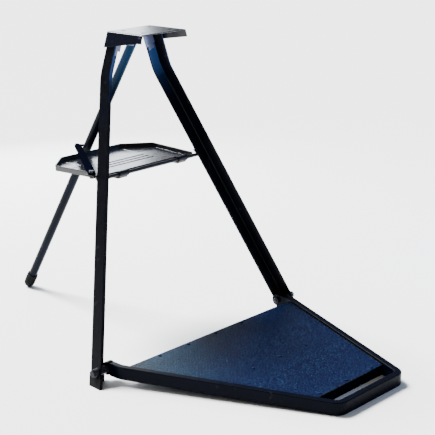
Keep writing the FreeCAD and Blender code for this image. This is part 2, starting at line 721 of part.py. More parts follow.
def check_and_write():
    doc.recompute()
    for thing in doc.Objects:
        if any(word in ("Invalid", "Error") for word in thing.State):
            raise RuntimeError("%s failed: %s" % (thing.Name, thing.State))
    for label, thing in nodes.items():
        if thing.Shape.isNull() or not thing.Shape.isValid():
            raise RuntimeError("%s has no valid shape" % label)
    os.makedirs("parts", exist_ok=True)
    for label, thing in nodes.items():
        thing.Shape.exportStep("parts/%s.step" % label)
    print("wrote %d sub-parts" % len(nodes))


make_sheet()
make_legs()
make_top_plate()
make_top_tabs()
make_rear_hinge()
make_rear_leg()
make_rod()
make_tray()
make_lock_bar()
make_platform()
make_pivots()
check_and_write()
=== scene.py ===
"""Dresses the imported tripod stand: weld beads, rolled hems, raised non-slip dashes and painted finishes."""
import json
import logging
import math
from dataclasses import dataclass, field
from enum import Enum
from typing import Dict, List, Sequence, Tuple

import bpy
import numpy as np
from mathutils import Matrix, Vector


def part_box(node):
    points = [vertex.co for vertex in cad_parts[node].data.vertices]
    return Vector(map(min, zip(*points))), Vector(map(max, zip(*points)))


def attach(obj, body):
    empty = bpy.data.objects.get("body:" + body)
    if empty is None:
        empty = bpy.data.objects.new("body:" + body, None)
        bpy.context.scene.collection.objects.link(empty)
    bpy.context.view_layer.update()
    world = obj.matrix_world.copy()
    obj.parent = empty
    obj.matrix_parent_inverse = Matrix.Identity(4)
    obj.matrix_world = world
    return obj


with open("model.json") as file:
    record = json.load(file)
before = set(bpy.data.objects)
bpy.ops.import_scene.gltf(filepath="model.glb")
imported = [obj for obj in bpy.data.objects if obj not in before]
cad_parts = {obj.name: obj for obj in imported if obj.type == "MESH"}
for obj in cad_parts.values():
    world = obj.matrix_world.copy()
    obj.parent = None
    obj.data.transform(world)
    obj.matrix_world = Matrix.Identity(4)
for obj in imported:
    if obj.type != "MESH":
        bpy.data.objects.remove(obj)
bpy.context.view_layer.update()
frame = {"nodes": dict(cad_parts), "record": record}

LOG = logging.getLogger("stand")
MM = 0.001
WELD_SWELL = 0.12
Patch = Tuple[np.ndarray, np.ndarray]
Triple = Tuple[float, float, float]
RNG = np.random.default_rng(11)


class Body(Enum):
    """The moving bodies of the stand."""

    STAND = "stand"
    REAR_LEG = "rear_leg"
    TRAY = "tray"
    LOCK_BAR = "lock_bar"
    PLATFORM = "platform"


class Kind(Enum):
    """How a finish is built."""

    ENAMEL = "enamel"
    GRIP = "grip"
    RUBBER = "rubber"
    STEEL = "steel"


# ------------------------------------------------------------------ surfaces

def unit(v: Sequence[float]) -> np.ndarray:
    """Returns the vector at length one."""
    v = np.asarray(v, float)
    return v / np.linalg.norm(v)


def grid_patch(points: np.ndarray, close_u: bool = False, close_v: bool = False) -> Patch:
    """Turns a two-parameter grid of points into quads.

    Args:
        points: Array of shape (u, v, 3).
        close_u: Joins the last row to the first.
        close_v: Joins the last column to the first.

    Returns:
        The vertices and the quads.
    """
    nu, nv = points.shape[:2]
    index = np.arange(nu * nv).reshape(nu, nv)
    if close_u:
        index = np.vstack([index, index[:1]])
    if close_v:
        index = np.hstack([index, index[:, :1]])
    quads = np.stack([index[:-1, :-1], index[1:, :-1], index[1:, 1:], index[:-1, 1:]], -1)
    return points.reshape(-1, 3), quads.reshape(-1, 4)


def sweep(path: np.ndarray, radius: np.ndarray, up: Sequence[float], sides: int = 10,
          closed: bool = False) -> Patch:
    """Carries a circle along a path: point(s, t) = path(s) + radius(s) (cos t across + sin t up).

    Args:
        path: Points of shape (n, 3).
        radius: The radius at each point.
        up: A direction that is never along the path.
        sides: Points round the circle.
        closed: The path is a loop.

    Returns:
        The swept surface.
    """
    if closed:
        tangent = np.roll(path, -1, 0) - np.roll(path, 1, 0)
    else:
        tangent = np.gradient(path, axis=0)
    tangent /= np.linalg.norm(tangent, axis=1)[:, None]
    across = np.cross(tangent, unit(up))
    across /= np.linalg.norm(across, axis=1)[:, None]
    rise = np.cross(across, tangent)
    t = np.linspace(0, 2 * math.pi, sides, endpoint=False)
    ring = np.cos(t)[None, :, None] * across[:, None, :] + np.sin(t)[None, :, None] * rise[:, None, :]
    points = path[:, None, :] + np.asarray(radius)[:, None, None] * ring
    return grid_patch(points, close_u=closed, close_v=True)


def bead(start: Sequence[float], end: Sequence[float], radius: float, up: Sequence[float],
         pitch: float = 3.2) -> Patch:
    """A weld bead: a tube of radius r (1 + swell cos(2 pi s / pitch)) that closes to nothing at both ends.

    Args:
        start: One end, in millimetres.
        end: The other end, in millimetres.
        radius: The bead's half width.
        up: The direction the bead faces.
        pitch: The distance between ripples.

    Returns:
        The bead's surface.
    """
    start, end = np.asarray(start, float), np.asarray(end, float)
    length = np.linalg.norm(end - start)
    steps = max(8, int(length / pitch * 5))
    s = np.linspace(0, 1, steps)
    ends = np.clip(np.minimum(s, 1 - s) * length / radius, 0, 1)
    swell = 1 + WELD_SWELL * np.cos(2 * math.pi * s * length / pitch)
    path = start + (end - start) * s[:, None]
    return sweep(path, radius * swell * np.sqrt(1 - (1 - ends) ** 2), up)


def loop_bead(path: np.ndarray, radius: float, up: Sequence[float], ripples: int = 0) -> Patch:
    """A bead that runs round a closed path: radius r (1 + swell cos(ripples s)) at the angle s.

    Args:
        path: Points of shape (n, 3), in millimetres.
        radius: The bead's half width.
        up: A direction that is never along the path.
        ripples: Swells round the loop; none leaves it plain.

    Returns:
        The bead's surface.
    """
    s = np.linspace(0, 2 * math.pi, len(path), endpoint=False)
    swell = WELD_SWELL * np.cos(ripples * s) if ripples else np.zeros(len(s))
    return sweep(path, radius * (1 + swell), up, closed=True)


def circle(centre: Sequence[float], axis: Sequence[float], radius: float, steps: int = 64) -> np.ndarray:
    """Walks round a circle: point(t) = centre + radius (cos t side + sin t other).

    Args:
        centre: Its middle.
        axis: The axis it turns about.
        radius: Its radius.
        steps: Points round it.

    Returns:
        Points of shape (steps, 3).
    """
    axis = unit(axis)
    side = unit(np.cross(axis, (0.3, 0.5, 0.81)))
    other = np.cross(axis, side)
    t = np.linspace(0, 2 * math.pi, steps, endpoint=False)[:, None]
    return np.asarray(centre, float) + radius * (np.cos(t) * side + np.sin(t) * other)


def dome(centre: Sequence[float], axis: Sequence[float], radius: float, height: float,
         rings: int = 6, steps: int = 24) -> Patch:
    """A crown turned about an axis: out to radius sin f, up to height cos f, for f from 0 to a right angle.

    Args:
        centre: The middle of the crown's foot.
        axis: The way the crown faces.
        radius: Its foot radius.
        height: Its height.
        rings: Rings from crown to foot.
        steps: Points round it.

    Returns:
        The crown's surface.
    """
    f = np.linspace(0, math.pi / 2, rings)
    layers = [circle(np.asarray(centre, float) + unit(axis) * height * math.cos(a), axis,
                     radius * math.sin(a), steps) for a in f]
    return grid_patch(np.stack(layers), close_v=True)


def ridge(start: Sequence[float], end: Sequence[float], half_width: float, height: float,
          steps: int = 40, across: int = 9) -> Patch:
    """A pressed rib on a level floor: half an ellipse carried from start to end, with rounded ends.

    Args:
        start: One end of its middle line.
        end: The other end.
        half_width: Half its width at the floor.
        height: Its height.
        steps: Points along it.
        across: Points across it.

    Returns:
        The rib's surface.
    """
    start, end = np.asarray(start, float), np.asarray(end, float)
    length = np.linalg.norm(end - start)
    s = 0.5 - 0.5 * np.cos(np.linspace(0, math.pi, steps))
    ends = np.clip(np.minimum(s, 1 - s) * length / half_width, 0, 1)
    width = half_width * np.sqrt(1 - (1 - ends) ** 2) + 0.01
    side = unit(np.cross(end - start, (0, 0, 1)))
    t = np.linspace(0, math.pi, across)
    points = (start + (end - start) * s[:, None])[:, None, :] \
        + width[:, None, None] * np.cos(t)[None, :, None] * side \
        + (width * height / half_width)[:, None, None] * np.sin(t)[None, :, None] * np.array([0, 0, 1.0])
    return grid_patch(points)


def rounded_loop(corners: Sequence[Tuple[float, float]], radius: float, height: float,
                 step: float = 4.0) -> np.ndarray:
    """Walks round a level polygon whose corners are arcs, each blended between its two tangent points.

    Args:
        corners: Its corners in order.
        radius: The radius at each corner.
        height: The level it lies at.
        step: The distance between points on its straight runs.

    Returns:
        Points of shape (n, 3).
    """
    points: List[np.ndarray] = []
    flat = [np.array([x, y, height], float) for x, y in corners]
    for before, corner, after in zip(flat[-1:] + flat[:-1], flat, flat[1:] + flat[:1]):
        a, b = unit(before - corner), unit(after - corner)
        half = math.acos(float(np.clip(a @ b, -1, 1))) / 2
        reach, centre = radius / math.tan(half), corner + unit(a + b) * radius / math.sin(half)
        first, last = corner + a * reach - centre, corner + b * reach - centre
        sweep_angle = math.pi - 2 * half
        for f in np.linspace(0, 1, 8):
            blend = (math.sin((1 - f) * sweep_angle) * first + math.sin(f * sweep_angle) * last)
            points.append(centre + blend / math.sin(sweep_angle))
        run = (after + unit(corner - after) * radius / math.tan(half)) - points[-1]
        count = max(2, int(np.linalg.norm(run) / step))
        points += [points[-1] + run * f for f in (np.arange(1, count) / count)]
    return np.array(points)


# ------------------------------------------------------------------ pieces

def add_piece(name: str, body: Body, patches: Sequence[Patch], finish: "Finish") -> bpy.types.Object:
    """Joins patches into one mesh that moves with a body.

    Args:
        name: The piece's name.
        body: The body that it rides on.
        patches: Its surfaces, in millimetres.
        finish: Its finish, which also names the material slot.

    Returns:
        The new object.
    """
    points, quads, start = [], [], 0
    for v, q in patches:
        points.append(v)
        quads.append(q + start)
        start += len(v)
    verts, faces = np.vstack(points) * MM, np.vstack(quads)
    mesh = bpy.data.meshes.new(name)
    mesh.vertices.add(len(verts))
    mesh.vertices.foreach_set("co", verts.astype(np.float32).ravel())
    mesh.loops.add(faces.size)
    mesh.loops.foreach_set("vertex_index", faces.astype(np.int32).ravel())
    mesh.polygons.add(len(faces))
    mesh.polygons.foreach_set("loop_start", np.arange(0, faces.size, 4, dtype=np.int32))
    mesh.update(calc_edges=True)
    mesh.validate()
    mesh.polygons.foreach_set("use_smooth", np.ones(len(mesh.polygons), bool))
    mesh.materials.append(finish.material())
    piece = bpy.data.objects.new(name, mesh)
    bpy.context.scene.collection.objects.link(piece)
    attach(piece, body.value)
    LOG.info("piece %s: %d faces", name, len(mesh.polygons))
    return piece


def millimetre_box(node: str) -> Tuple[np.ndarray, np.ndarray]:
    """Returns the low and high corners of a CAD node in millimetres."""
    low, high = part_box(node)
    return np.array(low) / MM, np.array(high) / MM


def node_points(node: str) -> np.ndarray:
    """Reads the vertices of a CAD node.

    Args:
        node: The node's name.

    Returns:
        Points of shape (n, 3), in millimetres.
    """
    mesh = frame["nodes"][node].data
    flat = np.zeros(len(mesh.vertices) * 3, np.float32)
    mesh.vertices.foreach_get("co", flat)
    return flat.reshape(-1, 3).astype(float) / MM


def clusters(node: str, reach: float = 20.0) -> List[np.ndarray]:
    """Gathers the points of a node's separate solids.

    Args:
        node: A CAD node made of small solids that stand far apart.
        reach: How far apart two points of one solid can be.

    Returns:
        The points of each solid.
    """
    rest, found = node_points(node), []
    while len(rest):
        near = np.linalg.norm(rest - rest[0], axis=1) < reach
        found.append(rest[near])
        rest = rest[~near]
    return found


# ------------------------------------------------------------------ finishes

@dataclass(frozen=True)
class Scuff:
    """The fine marks rubbed into a finish: a stretched noise, cut off between the two ends of its span."""

    cells: float
    detail: float
    stretch: Triple
    span: Tuple[float, float]


PLAIN_SCUFF = Scuff(130.0, 8.0, (1.0, 0.25, 0.25), (0.66, 0.72))
GRIP_SCUFF = Scuff(190.0, 8.0, (1.0, 2.0, 1.0), (0.52, 0.66))
SCUFF_SHARE = 0.5
# Each noise is its cells to the metre and its octaves; each span is where a smooth step starts and ends.
BROAD_NOISE, BROAD_SPAN = (9.0, 4.0), (0.35, 0.68)
GLOSS_NOISE, GLOSS_SPREAD = (60.0, 5.0), (0.75, 1.3)
PATCH_NOISE, PATCH_SPAN = (45.0, 6.0), (0.46, 0.60)
RUB_SPAN = (0.02, 0.25)
EDGE_SAMPLES = 3
GRAIN_DETAIL, GRAIN_HEIGHT = 3.0, 0.0004
TURNED_STRETCH, GRIT_CELLS = (1.0, 6.0, 6.0), 0.5
# The heights in metres over which the painted bluish sheen on the upper legs comes in, and the painted teal
# sheen across the deck from its right front to its left rear.
SHEEN_HEIGHT_SPAN, SHEEN_FACING_BLUR = (0.64, 0.80), 0.06
SHEEN_SIDE_DIRECTION, SHEEN_SIDE_SPAN, SHEEN_SIDE_RAGGED = (-0.67, 0.74, 0.0), (-0.10, 0.26), 0.16


@dataclass(frozen=True)
class Finish:
    """A procedural finish that fills one material slot."""

    slot: str
    kind: Kind
    colour: Triple
    # The broad patches' tone; on the deck it is the tone of the painted sheen instead.
    variation_and_sheen: Triple
    worn: Triple
    roughness: float = 0.3
    specular: float = 0.3
    metallic: float = 0.0
    grain_scale: float = 500.0
    grain_depth: float = 0.1
    wear: float = 0.3
    rounding: float = 0.0012
    # Painted sheen: a bluish tone painted on upper faces in place of the light they catch; the facing limits
    # it to faces turned to the front.
    high_tone: Tuple[float, ...] = ()
    high_facing: float = -1.0

    def material(self) -> bpy.types.Material:
        """Returns the material, which is built on first use."""
        name = f"finish_{self.slot}"
        return bpy.data.materials.get(name) or self._build(name)

    def _build(self, name: str) -> bpy.types.Material:
        """Builds the node tree.

        Args:
            name: The material's name.

        Returns:
            The material, with broad tone changes (a painted sheen on the deck in their place), an optional
            painted sheen up high, worn edges, grain and its own roughness.
        """
        material = bpy.data.materials.new(name)
        material.use_nodes = True
        tree = material.node_tree
        shader = tree.nodes["Principled BSDF"]
        coords = tree.nodes.new("ShaderNodeTexCoord").outputs["Object"]
        broad = self._noise(tree, coords, *BROAD_NOISE)
        patches = self._ramp(tree, broad, *BROAD_SPAN)
        # On the deck the broad patches give way to a painted sheen: teal painted towards the left rear,
        # standing in for reflected light.
        if self.kind is Kind.GRIP:
            patches = self._painted_sheen_side(tree, coords, broad)
        tone = self._mix(tree, patches, self.colour, self.variation_and_sheen)
        # Painted sheen: upper faces get a bluish tone painted in place of light.
        if self.high_tone:
            tone = self._mix(tree, self._painted_sheen_mask(tree, coords), tone, self.high_tone)
        worn = self._wear_mask(tree, coords)
        colour = self._mix(tree, worn, tone, self.worn)
        tree.links.new(colour, shader.inputs["Base Color"])
        rough = tree.nodes.new("ShaderNodeMapRange")
        rough.inputs["To Min"].default_value = self.roughness * GLOSS_SPREAD[0]
        rough.inputs["To Max"].default_value = min(1.0, self.roughness * GLOSS_SPREAD[1])
        tree.links.new(self._noise(tree, coords, *GLOSS_NOISE), rough.inputs["Value"])
        tree.links.new(rough.outputs["Result"], shader.inputs["Roughness"])
        shader.inputs["Metallic"].default_value = self.metallic
        shader.inputs["Specular IOR Level"].default_value = self.specular
        tree.links.new(self._relief(tree, coords), shader.inputs["Normal"])
        return material

    def _noise(self, tree: bpy.types.NodeTree, coords: bpy.types.NodeSocket, scale: float,
               detail: float, stretch: Triple = (1.0, 1.0, 1.0)) -> bpy.types.NodeSocket:
        """Adds a noise.

        Args:
            tree: The node tree.
            coords: The coordinates it reads.
            scale: Cells to the metre.
            detail: Octaves.
            stretch: A factor on each axis.

        Returns:
            The noise's value.
        """
        mapping = tree.nodes.new("ShaderNodeMapping")
        mapping.inputs["Scale"].default_value = stretch
        tree.links.new(coords, mapping.inputs["Vector"])
        noise = tree.nodes.new("ShaderNodeTexNoise")
        noise.inputs["Scale"].default_value = scale
        noise.inputs["Detail"].default_value = detail
        tree.links.new(mapping.outputs["Vector"], noise.inputs["Vector"])
        return noise.outputs["Fac"]

    def _ramp(self, tree: bpy.types.NodeTree, value: bpy.types.NodeSocket, low: float,
              high: float) -> bpy.types.NodeSocket:
        """Adds a smooth step.

        Args:
            tree: The node tree.
            value: What it steps.
            low: Where it leaves nought.
            high: Where it reaches one.

        Returns:
            The stepped value.
        """
        step = tree.nodes.new("ShaderNodeMapRange")
        step.interpolation_type = "SMOOTHSTEP"
        step.inputs["From Min"].default_value = low
        step.inputs["From Max"].default_value = high
        tree.links.new(value, step.inputs["Value"])
        return step.outputs["Result"]

    def _mix(self, tree: bpy.types.NodeTree, factor: bpy.types.NodeSocket,
             first: object, second: object) -> bpy.types.NodeSocket:
        """Mixes two colours.

        Args:
            tree: The node tree.
            factor: How much of the second shows.
            first: A colour, or a socket with one.
            second: A colour, or a socket with one.

        Returns:
            The mixed colour.
        """
        mix = tree.nodes.new("ShaderNodeMix")
        mix.data_type = "RGBA"
        tree.links.new(factor, mix.inputs["Factor"])
        for socket, value in ((mix.inputs[6], first), (mix.inputs[7], second)):
            if isinstance(value, tuple):
                socket.default_value = (*value, 1.0)
            else:
                tree.links.new(value, socket)
        return mix.outputs[2]

    def _math(self, tree: bpy.types.NodeTree, kind: str, first: object,
              second: object) -> bpy.types.NodeSocket:
        """Adds one sum.

        Args:
            tree: The node tree.
            kind: The sum's name.
            first: A number, or a socket with one.
            second: A number, or a socket with one.

        Returns:
            The result.
        """
        node = tree.nodes.new("ShaderNodeMath")
        node.operation = kind
        for socket, value in zip(node.inputs, (first, second)):
            if isinstance(value, (int, float)):
                socket.default_value = value
            else:
                tree.links.new(value, socket)
        return node.outputs[0]

    def _painted_sheen_mask(self, tree: bpy.types.NodeTree, coords: bpy.types.NodeSocket) -> bpy.types.NodeSocket:
        """Finds where to paint a bluish sheen near the top of the stand, on the faces turned to the front,
        standing in for the light they catch.

        Args:
            tree: The node tree.
            coords: The coordinates it reads.

        Returns:
            How much of the painted sheen shows.
        """
        height = tree.nodes.new("ShaderNodeSeparateXYZ")
        tree.links.new(coords, height.inputs[0])
        facing = tree.nodes.new("ShaderNodeSeparateXYZ")
        tree.links.new(tree.nodes.new("ShaderNodeNewGeometry").outputs["Normal"], facing.inputs[0])
        front = self._math(tree, "MULTIPLY", facing.outputs["Y"], -1.0)
        turned = self._ramp(tree, front, self.high_facing - SHEEN_FACING_BLUR, self.high_facing)
        return self._math(tree, "MULTIPLY", turned, self._ramp(tree, height.outputs["Z"], *SHEEN_HEIGHT_SPAN))

    def _painted_sheen_side(self, tree: bpy.types.NodeTree, coords: bpy.types.NodeSocket,
                    broad: bpy.types.NodeSocket) -> bpy.types.NodeSocket:
        """Paints a teal sheen on the deck towards its left rear corner, with an uneven border, standing in
        for reflected light.

        Args:
            tree: The node tree.
            coords: The coordinates it reads.
            broad: The noise that breaks up the border.

        Returns:
            How much of the painted sheen shows.
        """
        across = tree.nodes.new("ShaderNodeVectorMath")
        across.operation = "DOT_PRODUCT"
        across.inputs[1].default_value = SHEEN_SIDE_DIRECTION
        tree.links.new(coords, across.inputs[0])
        uneven = self._math(tree, "MULTIPLY", broad, SHEEN_SIDE_RAGGED)
        return self._ramp(tree, self._math(tree, "ADD", across.outputs["Value"], uneven), *SHEEN_SIDE_SPAN)

    def _wear_mask(self, tree: bpy.types.NodeTree, coords: bpy.types.NodeSocket) -> bpy.types.NodeSocket:
        """Finds rubbed edges and scuffs: where a rounded edge turns from the flat face, broken up by noise.

        Args:
            tree: The node tree.
            coords: The coordinates the noise reads.

        Returns:
            The mask.
        """
        edge = tree.nodes.new("ShaderNodeBevel")
        edge.samples = EDGE_SAMPLES
        edge.inputs["Radius"].default_value = self.rounding
        flat = tree.nodes.new("ShaderNodeNewGeometry")
        turn = tree.nodes.new("ShaderNodeVectorMath")
        turn.operation = "DOT_PRODUCT"
        tree.links.new(edge.outputs["Normal"], turn.inputs[0])
        tree.links.new(flat.outputs["Normal"], turn.inputs[1])
        rubbed = self._ramp(tree, self._math(tree, "SUBTRACT", 1.0, turn.outputs["Value"]), *RUB_SPAN)
        patchy = self._ramp(tree, self._noise(tree, coords, *PATCH_NOISE), *PATCH_SPAN)
        scuff = GRIP_SCUFF if self.kind is Kind.GRIP else PLAIN_SCUFF
        scuffs = self._ramp(tree, self._noise(tree, coords, scuff.cells, scuff.detail, scuff.stretch),
                            *scuff.span)
        edges = self._math(tree, "MULTIPLY", rubbed, patchy)
        both = self._math(tree, "MAXIMUM", edges, self._math(tree, "MULTIPLY", scuffs, SCUFF_SHARE))
        return self._math(tree, "MULTIPLY", both, self.wear)

    def _relief(self, tree: bpy.types.NodeTree, coords: bpy.types.NodeSocket) -> bpy.types.NodeSocket:
        """Adds grain over a softened edge: orange peel on enamel, grit on the deck, turning marks on steel.

        Args:
            tree: The node tree.
            coords: The coordinates the grain reads.

        Returns:
            The normal.
        """
        stretch = TURNED_STRETCH if self.kind is Kind.STEEL else (1.0, 1.0, 1.0)
        grain = self._noise(tree, coords, self.grain_scale, GRAIN_DETAIL, stretch)
        if self.kind is Kind.GRIP:
            cells = tree.nodes.new("ShaderNodeTexVoronoi")
            cells.inputs["Scale"].default_value = self.grain_scale * GRIT_CELLS
            tree.links.new(coords, cells.inputs["Vector"])
            grain = self._math(tree, "SUBTRACT", grain, cells.outputs["Distance"])
        soft = tree.nodes.new("ShaderNodeBevel")
        soft.samples = EDGE_SAMPLES
        soft.inputs["Radius"].default_value = self.rounding
        bump = tree.nodes.new("ShaderNodeBump")
        bump.inputs["Strength"].default_value = self.grain_depth
        bump.inputs["Distance"].default_value = GRAIN_HEIGHT
        tree.links.new(grain, bump.inputs["Height"])
        tree.links.new(soft.outputs["Normal"], bump.inputs["Normal"])
        return bump.outputs["Normal"]


def enamel(slot: str, colour: Triple, variation_and_sheen: Triple, **changes: object) -> Finish:
    """A gloss enamel finish.

    Args:
        slot: The material slot it fills.
        colour: Its main tone.
        variation_and_sheen: The tone of its broad patches.
        changes: Fields that differ from a plain enamel's.

    Returns:
        The finish.
    """
    values = dict(worn=(0.04, 0.045, 0.06), roughness=0.34, specular=0.14, grain_scale=420.0,
                  grain_depth=0.12)
    values.update(changes)
    return Finish(slot, Kind.ENAMEL, colour, variation_and_sheen, **values)


BLACK, BLUE_BLACK = (0.0012, 0.0014, 0.0035), (0.0008, 0.0014, 0.0050)
FINISHES: Dict[str, Finish] = {f.slot: f for f in (
    enamel("plate_paint", (0.0010, 0.0016, 0.0060), BLUE_BLACK, worn=(0.14, 0.14, 0.20), specular=0.20,
           roughness=0.24, wear=0.4),
    # The legs' necks get a painted bluish sheen on their front faces, standing in for light.
    enamel("leg_paint", (0.0004, 0.0006, 0.0018), (0.0003, 0.0007, 0.0030), specular=0.06,
           high_tone=(0.012, 0.036, 0.120), high_facing=0.985),
    enamel("tab_paint", (0.070, 0.080, 0.150), (0.045, 0.055, 0.120), specular=0.7, roughness=0.30),
    Finish("boot_rubber", Kind.RUBBER, (0.0012, 0.0012, 0.0018), (0.0020, 0.0020, 0.0028), (0.02, 0.02, 0.02),
           roughness=0.75, specular=0.12, grain_scale=900.0, grain_depth=0.35, wear=0.3),
    # The rear tube gets a painted bluish sheen towards its top, standing in for light.
    enamel("rear_leg_paint", (0.0004, 0.0024, 0.0075), (0.0003, 0.0014, 0.0050), specular=0.06,
           high_tone=(0.003, 0.022, 0.058)),
    Finish("tip_rubber", Kind.RUBBER, (0.0012, 0.0012, 0.0018), (0.0020, 0.0020, 0.0028), (0.02, 0.02, 0.02),
           roughness=0.7, specular=0.12, grain_scale=900.0, grain_depth=0.35, wear=0.3),
    enamel("rod_paint", BLACK, BLUE_BLACK),
    enamel("lock_bar_paint", BLACK, BLUE_BLACK, roughness=0.75, specular=0.0, worn=(0.012, 0.013, 0.018)),
    enamel("tray_paint", (0.0060, 0.0065, 0.0100), (0.0040, 0.0045, 0.0080), worn=(0.10, 0.10, 0.12),
           roughness=0.22, specular=0.6, grain_depth=0.06, wear=0.3),
    enamel("clip_paint", BLACK, BLUE_BLACK),
    enamel("rim_paint", (0.0005, 0.0012, 0.0040), BLUE_BLACK, roughness=0.34, specular=0.03, wear=0.3),
    # Painted sheen: the deck's second colour is the teal painted towards its left rear, standing in for
    # reflected light.
    Finish("deck_paint", Kind.GRIP, (0.0006, 0.0022, 0.0200), (0.0030, 0.0260, 0.0480), (0.030, 0.095, 0.19),
           roughness=0.30, specular=0.07, grain_scale=420.0, grain_depth=0.9, wear=0.7),
    enamel("bar_paint", BLACK, BLUE_BLACK, roughness=0.8, specular=0.0),
    Finish("rivet_steel", Kind.STEEL, (0.004, 0.012, 0.045), (0.006, 0.016, 0.050), (0.06, 0.08, 0.14),
           roughness=0.8, specular=0.05, grain_scale=600.0, grain_depth=0.15, wear=0.35, rounding=0.0008),
    Finish("bush_steel", Kind.STEEL, (0.010, 0.011, 0.016), (0.02, 0.02, 0.03), (0.25, 0.25, 0.28),
           roughness=0.35, metallic=0.6, grain_scale=600.0, grain_depth=0.2, wear=0.4, rounding=0.0008),
    Finish("fastener_steel", Kind.STEEL, (0.010, 0.010, 0.014), (0.018, 0.018, 0.024), (0.16, 0.16, 0.19),
           roughness=0.38, metallic=0.9, grain_scale=600.0, grain_depth=0.2, wear=0.6, rounding=0.0008),
)}


def dress_nodes() -> None:
    """Gives every CAD node the finish that its slot names."""
    slots = {entry["node"]: entry["material_slot"] for entry in frame["record"]["subparts"]}
    for node, piece in sorted(frame["nodes"].items()):
        finish = FINISHES[slots[node]]
        if not piece.material_slots:
            piece.data.materials.append(finish.material())
        for place in piece.material_slots:
            place.material = finish.material()
        LOG.info("node %s wears %s", node, finish.slot)


# ------------------------------------------------------------------ sub-assemblies

@dataclass
class FrontLegs:
    """The two angle-iron legs, with their root fillets, bush welds and lug welds, in millimetres."""

    spread: float = 406.0
    foot_line: float = -68.5
    lean: float = math.radians(17.74)
    splay: float = math.radians(20.23)
    wall: float = 4.0
    fillet: float = 3.2
    fillet_low: float = 54.0
    fillet_high: float = 792.0
    boss_radius: float = 11.0
    pivot: Tuple[float, float] = (-80.7, 35.8)
    weld: float = 1.7
    bush_ripples: int = 20
    rod_radius: float = 5.0
    rod_weld: float = 1.2
    rod_ripples: int = 10
    sunk: float = 0.02

    def axes(self) -> Tuple[np.ndarray, np.ndarray, np.ndarray]:
        """Works out the left leg's frame from its lean and splay.

        Returns:
            Its inward, backward and upward directions.
        """
        sl, cl, ss, cs = (math.sin(self.lean), math.cos(self.lean),
                          math.sin(self.splay), math.cos(self.splay))
        return (np.array([cs, -ss * sl, -ss * cl]), np.array([0, cl, -sl]),
                np.array([ss, cs * sl, cs * cl]))

    def foot(self) -> np.ndarray:
        """Returns the point where the left leg's outer corner meets the floor."""
        return np.array([-self.spread, self.foot_line, 0.0])

    def root_fillet(self) -> Patch:
        """The rolled fillet in the angle: a quarter circle, hollow side out, carried up the leg.

        Returns:
            The left leg's fillet.
        """
        inward, back, up = self.axes()
        along = np.linspace(self.fillet_low, self.fillet_high, 60)
        turn = np.linspace(0, math.pi / 2, 7)
        middle = self.wall + self.fillet
        x = middle - self.fillet * np.sin(turn) - self.sunk
        y = -middle + self.fillet * np.cos(turn) + self.sunk
        section = x[:, None] * inward + y[:, None] * back
        return grid_patch(self.foot() + along[:, None, None] * up + section[None])

    def bush_welds(self) -> List[Patch]:
        """Beads round the bush where it passes through the forward flange.

        Returns:
            The bead on each face of the left leg's flange.
        """
        inward = self.axes()[0]
        turn = np.linspace(0, 2 * math.pi, 72, endpoint=False)
        y = self.pivot[0] + self.boss_radius * np.cos(turn)
        z = self.pivot[1] + self.boss_radius * np.sin(turn)
        beads = []
        for depth in (0.0, self.wall):
            x = -self.spread + (depth - inward[1] * (y - self.foot_line) - inward[2] * z) / inward[0]
            beads.append(loop_bead(np.stack([x, y, z], 1), self.weld, (1, 0, 0), self.bush_ripples))
        return beads

    def rod_welds(self) -> List[Patch]:
        """Rings of weld round the tray rod where it meets its lugs.

        Returns:
            The left bead, then the right.
        """
        low, high = millimetre_box("tray_rod")
        y, z = (low[1] + high[1]) / 2, (low[2] + high[2]) / 2
        lug = millimetre_box("right_rod_lug")[0][0]
        return [loop_bead(circle((side * lug, y, z), (1, 0, 0), self.rod_radius), self.rod_weld, (1, 0, 0),
                          self.rod_ripples) for side in (-1, 1)]

    def build(self) -> List[bpy.types.Object]:
        """Builds both legs' pieces.

        Returns:
            The new objects.
        """
        left = {"root_fillet": [self.root_fillet()], "bush_welds": self.bush_welds()}
        made = []
        for side, flip in (("left", 1.0), ("right", -1.0)):
            for name, patches in left.items():
                turned = [(v * (flip, 1, 1), q if flip > 0 else q[:, ::-1]) for v, q in patches]
                made.append(add_piece(f"{side}_{name}", Body.STAND, turned, FINISHES["leg_paint"]))
        made.append(add_piece("rod_welds", Body.STAND, self.rod_welds(), FINISHES["rod_paint"]))
        return made


@dataclass
class TopPlate:
    """The folded plate's worn front edge and the welds of the hinge bracket under it, in millimetres."""

    edge: float = 1.35
    edge_inset: float = 7.0
    edge_depth: float = 0.3
    no_ripple: float = 1000.0
    weld: float = 2.0
    weld_inset: float = 1.0
    web: float = 2.5

    def front_edge(self) -> List[Patch]:
        """A burnished roll along the plate's front edge: one plain bead that closes at both ends.

        Returns:
            The roll.
        """
        low, high = millimetre_box("top_plate")
        y, z = low[1] + self.edge_depth, high[2] - self.web / 2
        return [bead((low[0] + self.edge_inset, y, z), (high[0] - self.edge_inset, y, z),
                     self.edge, (0, 0, 1), pitch=self.no_ripple)]

    def bracket_welds(self) -> List[Patch]:
        """Beads along both sides of the bracket, under the web.

        Returns:
            The left bead, then the right.
        """
        low, high = millimetre_box("rear_hinge_bracket")
        front, rear, z = low[1] + self.weld_inset, high[1] - self.weld_inset, high[2]
        return [bead((x, front, z), (x, rear, z), self.weld, (0, 0, 1)) for x in (low[0], high[0])]

    def build(self) -> List[bpy.types.Object]:
        """Builds the plate's pieces.

        Returns:
            The new objects.
        """
        return [add_piece("plate_front_edge", Body.STAND, self.front_edge(), FINISHES["plate_paint"]),
                add_piece("bracket_welds", Body.STAND, self.bracket_welds(), FINISHES["tab_paint"])]


